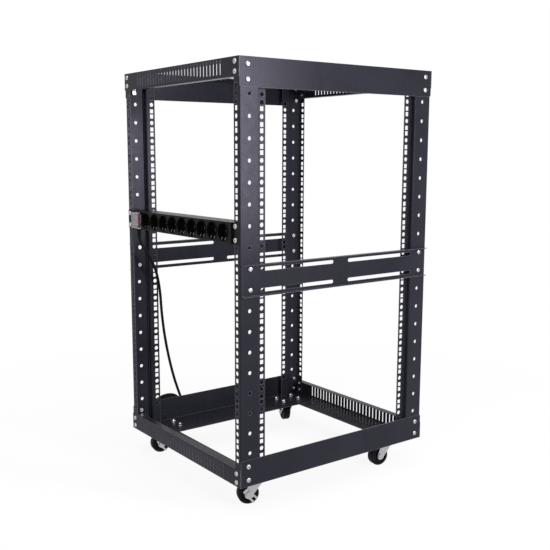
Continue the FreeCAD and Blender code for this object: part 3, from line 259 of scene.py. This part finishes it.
POST = {corner: Box("post_" + corner) for corner in CORNERS}
HOUSING = Box("power_strip_housing")
PANEL_SHEET = 1.5 * MM
POST_SHEET = 1.8 * MM
EAR_SHEET = 2.0 * MM
PLATE_SHEET = 2.0 * MM
UNIT = 44.45 * MM
COLUMN = 232.55 * MM  # the rack's hole columns, from the middle


def sides_of(corner):
    """(-1 front or 1 back, -1 left or 1 right)."""
    end, side = corner.split("_")
    return (-1 if end == "front" else 1), (-1 if side == "left" else 1)


def outer_corner(corner):
    """Where a post's outer side face meets its front or back face, at half height."""
    end, side = sides_of(corner)
    box = POST[corner]
    return Vector((box.low.x if side < 0 else box.high.x,
                   box.low.y if end < 0 else box.high.y, box.middle.z))


# --------------------------------------------------------------- mesh tools

def finish_mesh(name, shape, material, body, smooth=40.0):
    """Turn a bmesh into a piece that rides on a body."""
    mesh = bpy.data.meshes.new(name)
    bmesh.ops.recalc_face_normals(shape, faces=shape.faces)
    shape.to_mesh(mesh)
    shape.free()
    piece = bpy.data.objects.new(name, mesh)
    bpy.context.scene.collection.objects.link(piece)
    mesh.materials.append(material)
    mesh.shade_smooth()
    mesh.set_sharp_from_angle(angle=math.radians(smooth))
    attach(piece, body)
    return piece


def add_circle(shape, radius, height, steps, place):
    """Vertices in a ring round a placement's own Z, or one on it where the radius is 0."""
    if radius == 0:
        return [shape.verts.new(place @ Vector((0, 0, height)))]
    return [shape.verts.new(place @ Vector((
        radius * math.cos(2 * math.pi * step / steps),
        radius * math.sin(2 * math.pi * step / steps), height)))
        for step in range(steps)]


def add_band(shape, lower, upper):
    """Faces from one ring of vertices to the next."""
    steps = max(len(lower), len(upper))
    for step in range(steps):
        after = (step + 1) % steps
        if len(lower) == 1:
            shape.faces.new((lower[0], upper[step], upper[after]))
        elif len(upper) == 1:
            shape.faces.new((lower[step], lower[after], upper[0]))
        else:
            shape.faces.new((lower[step], lower[after], upper[after], upper[step]))


def add_lathe(shape, profile, steps, place):
    """Closed solid of revolution about its own Z from (radius, height) pairs."""
    rings = [add_circle(shape, radius, height, steps, place) for radius, height in profile]
    for lower, upper in zip(rings, rings[1:]):
        add_band(shape, lower, upper)


def add_ring(shape, profile, steps, place):
    """Closed ring of revolution from a closed (radius, height) outline."""
    rings = [add_circle(shape, radius, height, steps, place) for radius, height in profile]
    for index, lower in enumerate(rings):
        add_band(shape, lower, rings[(index + 1) % len(rings)])


def facing(point, direction):
    """Placement whose own Z points along a direction from a point."""
    turn = Vector(direction).to_track_quat("Z", "Y")
    return Matrix.Translation(point) @ turn.to_matrix().to_4x4()


# ---------------------------------------------------------------- fasteners

SCREW_HEAD = 5.6 * MM
CASTER_SCREW_HEAD = 5.2 * MM
NUT_ACROSS = 10.0 * MM
NUT_HEIGHT = 5.0 * MM
WASHER = 1.2 * MM
WASHER_RADIUS = 6.0 * MM
STRIP_WASHER_RADIUS = 7.0 * MM
WASHER_HOLE = 3.3 * MM


def add_screw(shape, point, direction, radius, turn):
    """Pan head with a pressed cross recess, seated on a surface."""
    place = facing(point, direction) @ Matrix.Rotation(turn, 4, "Z")
    height = radius * 0.5
    steps = 32
    # the dome, from the cross outwards: (share of the radius, share of the height)
    levels = [(0.62, 0.97), (0.86, 0.82), (0.97, 0.52), (1.0, 0.18), (1.0, 0.0)]
    arm = radius * 0.13
    reach = radius * 0.52
    floor = height * 0.35
    middle = shape.verts.new(place @ Vector((0, 0, floor)))
    cross = []
    for quarter in range(4):
        spin = Matrix.Rotation(quarter * math.pi / 2, 4, "Z")
        for x, y in ((reach, -arm), (reach, arm), (arm, arm)):
            cross.append(spin @ Vector((x, y, 0)))
    top = [shape.verts.new(place @ (corner + Vector((0, 0, height)))) for corner in cross]
    deep = [shape.verts.new(place @ (corner * 0.8 + Vector((0, 0, floor)))) for corner in cross]
    count = len(cross)
    for index in range(count):
        after = (index + 1) % count
        shape.faces.new((deep[index], deep[after], middle))
        shape.faces.new((top[index], top[after], deep[after], deep[index]))
    rings = [add_circle(shape, radius * share, height * rise, steps, place)
             for share, rise in levels]
    rim_edges = [shape.edges.get((top[i], top[(i + 1) % count])) for i in range(count)]
    ring = rings[0]
    ring_edges = [shape.edges.new((ring[i], ring[(i + 1) % steps])) for i in range(steps)]
    bmesh.ops.triangle_fill(shape, edges=rim_edges + ring_edges, use_beauty=True)
    for lower, upper in zip(rings, rings[1:]):
        add_band(shape, lower, upper)
    shape.faces.new(rings[-1])


def add_hexagon(shape, point, direction, across, height, turn):
    """Hexagon nut with chamfered corners, and the screw's end standing in it."""
    place = facing(point, direction) @ Matrix.Rotation(turn, 4, "Z")
    corner = across / math.sqrt(3)
    rings = [add_circle(shape, corner * share, height * level, 6, place)
             for share, level in ((0.93, 0.0), (1.0, 0.12), (1.0, 0.88), (0.9, 1.0))]
    for lower, upper in zip(rings, rings[1:]):
        add_band(shape, lower, upper)
    shape.faces.new(list(reversed(rings[0])))
    shape.faces.new(rings[-1])
    thread = across * 0.29
    add_lathe(shape, [(0, height * 0.9), (thread, height * 0.9), (thread, height * 1.25),
                      (thread * 0.8, height * 1.4), (0, height * 1.4)], 16, place)


def add_washer(shape, point, direction, radius):
    """Plain washer with a broken outer edge."""
    edge = WASHER * 0.25
    add_ring(shape, [(WASHER_HOLE, 0.0), (radius, 0.0), (radius, WASHER - edge),
                     (radius - edge, WASHER), (WASHER_HOLE, WASHER)], 24,
             facing(point, direction))


class Fasteners:
    """Collects one group of small hardware into a single mesh, each piece turned its own way."""

    def __init__(self, name):
        self.name = name
        self.shape = bmesh.new()
        self.count = 0

    def screw(self, point, direction, radius=SCREW_HEAD):
        self.count += 1
        add_screw(self.shape, point, direction, radius, 0.7 * self.count)

    def nut(self, point, direction):
        self.count += 1
        add_hexagon(self.shape, point, direction, NUT_ACROSS, NUT_HEIGHT, 0.4 * self.count)

    def washer(self, point, direction, radius=WASHER_RADIUS):
        add_washer(self.shape, point, direction, radius)

    def done(self):
        finish_mesh(self.name, self.shape, BRIGHT, "rack")


# screws from the posts' outer face, from a panel's top edge, and from a pair's middle
PANEL_SCREW_INSET = 19.5 * MM
PANEL_SCREW_DROP = 30.0 * MM
PANEL_SCREW_RISE = 15.0 * MM
VENT_SCREW_RISE = 9.8 * MM
RAIL_SCREW_INSET = 25.0 * MM
RAIL_SCREW_LIFT = 2.3 * MM


def add_panel_fasteners():
    """Pan heads outside and nuts inside at each corner of the panels and rails."""
    for corner in CORNERS:
        end, side = sides_of(corner)
        group = Fasteners("panel_screws_" + corner)
        edge = outer_corner(corner)
        for level in ("bottom", "top"):
            plate = Box("%s_side_panel_%s" % (level, "left" if side < 0 else "right"))
            y = edge.y - end * PANEL_SCREW_INSET
            for rise in (-PANEL_SCREW_RISE, PANEL_SCREW_RISE):
                z = plate.high.z - PANEL_SCREW_DROP + rise
                group.screw((edge.x + side * PANEL_SHEET, y, z), (side, 0, 0))
                group.nut((edge.x - side * POST_SHEET, y, z), (-side, 0, 0))
            vent = Box("%s_vent_panel_%s" % (level, "front" if end < 0 else "rear"))
            x = side * COLUMN
            for rise in (-VENT_SCREW_RISE, VENT_SCREW_RISE):
                z = vent.middle.z + rise
                group.screw((x, edge.y + end * PANEL_SHEET, z), (0, end, 0))
                group.nut((x, edge.y - end * POST_SHEET, z), (0, -end, 0))
        rail = Box("side_rail_" + ("left" if side < 0 else "right"))
        for rise in (-UNIT / 2, UNIT / 2):
            y = edge.y - end * RAIL_SCREW_INSET
            z = rail.middle.z + RAIL_SCREW_LIFT + rise
            group.screw((edge.x + side * PANEL_SHEET, y, z), (side, 0, 0))
            group.nut((edge.x - side * POST_SHEET, y, z), (-side, 0, 0))
        group.done()


CASTER_BOLT_X = 17.0 * MM
CASTER_BOLT_Y = 26.5 * MM


def add_caster_fasteners():
    """Screws up through each caster plate, with washers and nuts on the flange."""
    for corner in CORNERS:
        plate = Box("caster_plate_" + corner)
        group = Fasteners("caster_bolts_" + corner)
        flange_top = plate.high.z + PANEL_SHEET
        for across in (-CASTER_BOLT_X, CASTER_BOLT_X):
            for along in (-CASTER_BOLT_Y, CASTER_BOLT_Y):
                x, y = plate.middle.x + across, plate.middle.y + along
                group.screw((x, y, plate.high.z - PLATE_SHEET), (0, 0, -1), CASTER_SCREW_HEAD)
                group.washer((x, y, flange_top), (0, 0, 1))
                group.nut((x, y, flange_top + WASHER), (0, 0, 1))
        group.done()


EAR_SCREW_RISE = 14.2875 * MM


def add_strip_fasteners():
    """Two screws through each ear, which lies on its post's front face, with washers and nuts."""
    face = POST["front_left"].low.y
    back = face + POST_SHEET
    for side, word in ((-1, "left"), (1, "right")):
        ear = Box("power_strip_ear_" + word)
        group = Fasteners("strip_screws_" + word)
        x = side * COLUMN
        for rise in (-EAR_SCREW_RISE, EAR_SCREW_RISE):
            z = ear.middle.z + rise
            group.screw((x, face - EAR_SHEET, z), (0, -1, 0))
            group.washer((x, back, z), (0, 1, 0), STRIP_WASHER_RADIUS)
            group.nut((x, back + WASHER, z), (0, 1, 0))
        group.done()


# ------------------------------------------------------------------ outlets

OUTLETS = 9
OUTLET_PITCH = 42.0 * MM
OUTLET_END = 31.0 * MM  # the last outlet's middle from the strip's right end
RECESS = 19.0 * MM
RECESS_DEPTH = 15.0 * MM
CONTACT_OUT = 9.5 * MM
CONTACT_SUNK = 2.9 * MM
KEY_HALF = 2.4 * MM
KEY_FRONT = 1.5 * MM


def outlet_middles():
    """The middle of each recess on the strip's face, from right to left."""
    last = HOUSING.high.x - OUTLET_END
    return [Vector((last - OUTLET_PITCH * step, HOUSING.low.y, HOUSING.middle.z))
            for step in range(OUTLETS)]


# each clip's line by the side that it is on, 1 up or -1 down:
# (depth from the face, gap from the recess wall), in millimetres
CLIP_LINES = {
    -1: [(15.0, 0.3), (11.5, 0.5), (8.0, 3.4), (5.0, 7.0), (3.2, 7.6), (2.0, 5.6), (1.4, 2.6)],
    1: [(15.0, 0.3), (11.5, 0.4), (8.5, 1.2), (6.0, 1.9), (4.5, 1.6), (3.6, 0.4)],
}


def add_outlet_clips():
    """Two sprung earth prongs at the top and two at the bottom of every recess."""
    shape = bmesh.new()
    sheet = 0.5  # millimetres, as its line
    prong = 0.8 * MM
    spread = 6.5 * MM
    for middle in outlet_middles():
        for up, x_middle in ((-1, -spread), (-1, spread), (1, -spread), (1, spread)):
            line = CLIP_LINES[up]
            rows = []
            for index, (depth, gap) in enumerate(line):
                before = line[max(0, index - 1)]
                after = line[min(len(line) - 1, index + 1)]
                run = Vector((after[0] - before[0], after[1] - before[1])).normalized()
                normal = Vector((-run.y, run.x)) * sheet
                row = []
                for x in (x_middle - prong, x_middle + prong):
                    for extra in (0.0, 1.0):
                        d = (depth + normal.x * extra) * MM
                        g = (gap + abs(normal.y) * extra) * MM
                        row.append(shape.verts.new((
                            middle.x + x, middle.y + d, middle.z + up * (RECESS - g))))
                rows.append(row)
            for lower, upper in zip(rows, rows[1:]):
                for first, second in ((0, 1), (1, 3), (3, 2), (2, 0)):
                    shape.faces.new((lower[first], lower[second], upper[second], upper[first]))
            for row in (rows[0], rows[-1]):
                shape.faces.new((row[0], row[1], row[3], row[2]))
    finish_mesh("outlet_earth_clips", shape, CONTACT, "rack", 60.0)


def add_outlet_contacts():
    """Sleeves of the live contacts, sunk in each recess floor."""
    shape = bmesh.new()
    for middle in outlet_middles():
        for side in (-1, 1):
            sunk = Vector((side * CONTACT_OUT, RECESS_DEPTH + CONTACT_SUNK, 0))
            add_ring(shape, [(2.0 * MM, 0.0), (2.6 * MM, 0.0), (2.6 * MM, 2.2 * MM),
                             (2.0 * MM, 2.0 * MM)], 20, facing(middle + sunk, (0, -1, 0)))
    finish_mesh("outlet_contacts", shape, CONTACT, "rack")


def add_outlet_rims():
    """A thin raised rim round each recess, and the two guide keys at its sides."""
    shape = bmesh.new()
    for middle in outlet_middles():
        place = facing(middle, (0, -1, 0))
        add_ring(shape, [(RECESS, -1.0 * MM), (RECESS + 1.2 * MM, -0.2 * MM),
                         (RECESS + 1.0 * MM, 0.7 * MM), (RECESS + 0.3 * MM, 0.9 * MM),
                         (RECESS - 0.1 * MM, 0.5 * MM)], 64, place)
        root, tip = RECESS + 0.3 * MM, RECESS - 1.5 * MM
        section = [(root, -KEY_HALF), (tip, -KEY_HALF * 0.8),
                   (tip, KEY_HALF * 0.8), (root, KEY_HALF)]
        for side in (-1, 1):
            near_face, far_face = (
                [shape.verts.new((middle.x + side * x, middle.y + depth, middle.z + z))
                 for x, z in section]
                for depth in (KEY_FRONT, RECESS_DEPTH))
            add_band(shape, near_face, far_face)
            shape.faces.new(near_face)
            shape.faces.new(far_face)
    finish_mesh("outlet_rims", shape, FINISH["strip_plastic"], "rack")


# --------------------------------------------------------------------- cord

CORD = 7.0 * MM
LEAD = [
    (-205.0, -260.5, 570.64), (-205.0, -259.5, 558.0), (-201.5, -246.0, 536.0),
    (-204.5, -227.0, 507.0), (-212.5, -209.0, 473.0), (-224.0, -194.0, 424.0),
    (-231.0, -186.5, 358.0), (-239.0, -173.5, 290.0), (-247.0, -156.5, 226.0),
    (-253.5, -138.5, 170.0), (-257.6, -124.6, 136.0), (-258.2, -117.3, 115.6),
]
TAIL = [
    (-272.5, -101.5, 66.0), (-274.5, -100.5, 51.3), (-278.5, -101.5, 37.5),
    (-285.5, -106.5, 26.0), (-296.5, -114.8, 19.0), (-308.0, -123.8, 17.2),
]
COIL_MIDDLE = Vector((-262.8, -162.5, 67.9))
COIL_RADIUS = 60.0
COIL_LEAN = math.radians(8.3)
COIL_TURNS = 3
COIL_STEPS = 16
COIL_START = math.radians(25.0)
STRAND = 4.12


def coil_place(angle, outward, away):
    """A point of the leaning coil: its angle, and how far out of and beside its ring."""
    up = Vector((math.sin(COIL_LEAN), 0, math.cos(COIL_LEAN)))
    side = Vector((-math.cos(COIL_LEAN), 0, math.sin(COIL_LEAN)))
    ring = Vector((0, math.cos(angle), 0)) + up * math.sin(angle)
    return COIL_MIDDLE + ring * (COIL_RADIUS + outward) + side * away


def eased(value):
    value = min(1.0, max(0.0, value))
    return value * value * (3 - 2 * value)


def strand_twist(turns):
    """Where round the bundle the cord lies after so many turns of the coil."""
    return math.radians(45 + 120 * turns)


def coil_points():
    """Three turns that twist slowly round each other, a cord's width apart."""
    points = []
    grow = 1 / math.cos(math.pi / COIL_STEPS)
    count = COIL_TURNS * COIL_STEPS
    for step in range(count):
        turns = step / COIL_STEPS
        angle = COIL_START - 2 * math.pi * turns
        twist = strand_twist(turns)
        entering = 1 - eased(turns / 0.16)
        leaving = eased((turns - COIL_TURNS + 0.22) / 0.16)
        outward = STRAND * math.cos(twist) + 4.6 * entering - 1.5 * leaving
        away = STRAND * math.sin(twist) - 4.2 * entering + 6.0 * leaving
        outward += COIL_RADIUS * (grow - 1)
        points.append(tuple(coil_place(angle, outward, away)))
    return points


def make_curve(name, points, thickness, material):
    """One smooth round NURBS line from its control points, in millimetres."""
    data = bpy.data.curves.new(name, "CURVE")
    data.dimensions = "3D"
    spline = data.splines.new("NURBS")
    spline.points.add(len(points) - 1)
    for target, point in zip(spline.points, points):
        target.co = (point[0] * MM, point[1] * MM, point[2] * MM, 1.0)
    spline.order_u = 3
    spline.use_endpoint_u = True
    spline.use_smooth = True
    data.resolution_u = 6
    data.bevel_depth = thickness / 2
    data.bevel_resolution = 4
    data.use_fill_caps = True
    data.materials.append(material)
    curve = bpy.data.objects.new(name, data)
    bpy.context.scene.collection.objects.link(curve)
    return curve


def add_cord():
    """The supply cord: it hangs from the strip, and its spare length is a tied coil."""
    points = LEAD + coil_points() + TAIL
    cord = make_curve("power_cord", points, CORD, FINISH["cord_black"])
    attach(cord, "rack")
    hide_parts("power_cord_lead", "power_cord_coil", "power_cord_tail")
    tie = add_tie()


# the tie, in millimetres: its band's thickness and half width, its lock out from the strands
TIE_SHEET = 1.1
TIE_HALF = 1.8
TIE_LOCK_OUT = 4.4
TIE_AT = math.radians(250)


def add_tie():
    """Nylon tie pulled round the three strands, with its lock and a cut end."""
    shape = bmesh.new()
    angle = COIL_START - TIE_AT
    up = Vector((math.sin(COIL_LEAN), 0, math.cos(COIL_LEAN)))
    side = Vector((-math.cos(COIL_LEAN), 0, math.sin(COIL_LEAN)))
    ring = Vector((0, math.cos(angle), 0)) + up * math.sin(angle)
    along = side.cross(ring)
    middle = COIL_MIDDLE + ring * COIL_RADIUS
    turns = (COIL_START - angle) / (2 * math.pi)
    twists = [strand_twist(turns + strand) for strand in range(COIL_TURNS)]
    steps = 48
    rows = []
    for step in range(steps):
        turn = 2 * math.pi * step / steps
        # half a cord past whichever strand lies farthest this way
        reach = max(STRAND * math.cos(turn - twist) for twist in twists) + CORD / MM / 2
        way = ring * math.cos(turn) + side * math.sin(turn)
        point = middle + way * reach
        rows.append([shape.verts.new((point + way * rise + along * across) * MM)
                     for rise, across in ((0.0, -TIE_HALF), (TIE_SHEET, -TIE_HALF),
                                          (TIE_SHEET, TIE_HALF), (0.0, TIE_HALF))])
    for index, row in enumerate(rows):
        add_band(shape, row, rows[(index + 1) % steps])
    # the lock stands on the outside of the bundle
    base = middle + side * (max(STRAND * math.sin(twist) for twist in twists) + TIE_LOCK_OUT)
    add_block(shape, base, (ring, 3.0), (along, 2.6), (side, 1.8), 0.5)
    add_block(shape, base + ring * 6.5 + side * 0.2, (ring, 4.0), (along, 1.7), (side, 0.55), 0.2)
    return finish_mesh("cord_tie", shape, FINISH["cord_black"], "rack")


def add_block(shape, middle, first, second, third, chamfer):
    """Bevelled block from three (direction, half size) pairs, in millimetres."""
    block = bmesh.new()
    bmesh.ops.create_cube(block, size=2.0)
    for vertex in block.verts:
        x, y, z = vertex.co
        vertex.co = Vector((x * first[1], y * second[1], z * third[1]))
    bmesh.ops.bevel(block, geom=block.edges[:], offset=chamfer, segments=2, affect="EDGES")
    kept = {}
    for vertex in block.verts:
        x, y, z = vertex.co
        kept[vertex] = shape.verts.new(
            (Vector(middle) + first[0] * x + second[0] * y + third[0] * z) * MM)
    for face in block.faces:
        shape.faces.new([kept[vertex] for vertex in face.verts])
    block.free()


# ------------------------------------------------------------ camera, studio

def add_camera():
    """The view, placed so that the rack's hole columns fall where they are seen."""
    data = bpy.data.cameras.new("camera")
    data.lens = 53.53
    data.sensor_width = 36.0
    data.shift_x = 0.0327
    data.shift_y = 0.0161
    camera = bpy.data.objects.new("camera", data)
    right = Vector((0.5865049, 0.8099456, -0.0002549))
    up = Vector((-0.1289650, 0.0936978, 0.9872126))
    back = Vector((0.7996124, -0.5789722, 0.1594089))
    turn = Matrix((right, up, back)).transposed().to_4x4()
    camera.matrix_world = Matrix.Translation((1.61208, -1.21402, 0.77809)) @ turn
    bpy.context.scene.collection.objects.link(camera)
    bpy.context.scene.camera = camera


def seen_directly(tree):
    """1 for camera, glossy and transmission rays, otherwise 0."""
    path = tree.nodes.new("ShaderNodeLightPath")
    total = None
    for name in ("Is Camera Ray", "Is Glossy Ray", "Is Transmission Ray"):
        if total is None:
            total = path.outputs[name]
            continue
        larger = tree.nodes.new("ShaderNodeMath")
        larger.operation = "MAXIMUM"
        tree.links.new(total, larger.inputs[0])
        tree.links.new(path.outputs[name], larger.inputs[1])
        total = larger.outputs[0]
    return total


FLOOR_REACH = 14.0
FLOOR_GREY = 0.86
FADE_NEAR, FADE_FAR = 0.5, 1.5  # metres from the middle of the rack
SHADOW_SHARE = 0.1  # how much of the lit floor shows there


def add_floor():
    """Pale matt floor that turns into the white backdrop and keeps a soft shadow."""
    shape = bmesh.new()
    bmesh.ops.create_circle(shape, cap_ends=True, segments=96, radius=FLOOR_REACH)
    mesh = bpy.data.meshes.new("floor")
    shape.to_mesh(mesh)
    shape.free()
    floor = bpy.data.objects.new("floor", mesh)
    bpy.context.scene.collection.objects.link(floor)
    material = bpy.data.materials.new("floor_paper")
    material.use_nodes = True
    tree = material.node_tree
    shader = tree.nodes["Principled BSDF"]
    shader.inputs["Base Color"].default_value = shade(FLOOR_GREY)
    shader.inputs["Roughness"].default_value = 0.9
    glow = tree.nodes.new("ShaderNodeEmission")
    glow.inputs["Color"].default_value = (1, 1, 1, 1)
    away = tree.nodes.new("ShaderNodeVectorMath")
    away.operation = "LENGTH"
    tree.links.new(tree.nodes.new("ShaderNodeTexCoord").outputs["Object"], away.inputs[0])
    fade = tree.nodes.new("ShaderNodeMapRange")
    for name, number in (("From Min", FADE_NEAR), ("From Max", FADE_FAR),
                         ("To Min", 1.0 - SHADOW_SHARE), ("To Max", 1.0)):
        fade.inputs[name].default_value = number
    tree.links.new(away.outputs["Value"], fade.inputs["Value"])
    share = tree.nodes.new("ShaderNodeMath")
    share.operation = "MULTIPLY"
    tree.links.new(fade.outputs["Result"], share.inputs[1])
    tree.links.new(seen_directly(tree), share.inputs[0])
    both = tree.nodes.new("ShaderNodeMixShader")
    tree.links.new(share.outputs[0], both.inputs[0])
    tree.links.new(shader.outputs[0], both.inputs[1])
    tree.links.new(glow.outputs[0], both.inputs[2])
    tree.links.new(both.outputs[0], tree.nodes["Material Output"].inputs["Surface"])
    mesh.materials.append(material)


WORLD_LIGHT = 0.55


def add_world():
    """White where it is seen, and a weaker even grey as light."""
    world = bpy.data.worlds.new("studio")
    world.use_nodes = True
    tree = world.node_tree
    background = tree.nodes["Background"]
    strength = tree.nodes.new("ShaderNodeMapRange")
    strength.inputs["To Min"].default_value = WORLD_LIGHT
    strength.inputs["To Max"].default_value = 1.0
    tree.links.new(seen_directly(tree), strength.inputs["Value"])
    tree.links.new(strength.outputs["Result"], background.inputs["Strength"])
    background.inputs["Color"].default_value = (1, 1, 1, 1)
    bpy.context.scene.world = world


def add_lamp(name, place, target, size, power):
    """An area lamp of a width and height, turned from its place to a target."""
    data = bpy.data.lights.new(name, "AREA")
    data.shape = "RECTANGLE"
    data.size, data.size_y = size
    data.energy = power
    lamp = bpy.data.objects.new(name, data)
    way = Vector(target) - Vector(place)
    lamp.matrix_world = (Matrix.Translation(place)
                         @ way.to_track_quat("-Z", "Y").to_matrix().to_4x4())
    bpy.context.scene.collection.objects.link(lamp)


def add_studio():
    """White floor and world, with three soft lamps."""
    add_floor()
    add_world()
    add_lamp("side_softbox", (1.65, 0.62, 0.9), (0.24, -0.2, 0.8), (0.2, 0.85), 28)
    add_lamp("front_softbox", (1.3, -2.3, 1.4), (0.0, 0.0, 0.6), (0.35, 1.0), 17)
    add_lamp("top_softbox", (0.2, -0.4, 2.6), (0.0, 0.0, 0.5), (1.6, 1.6), 24)


# ---------------------------------------------------------------------- make

add_camera()
dress_frame()
add_cord()
add_panel_fasteners()
add_caster_fasteners()
add_strip_fasteners()
add_outlet_clips()
add_outlet_contacts()
add_outlet_rims()
add_studio()
bpy.context.scene.view_settings.view_transform = "Standard"
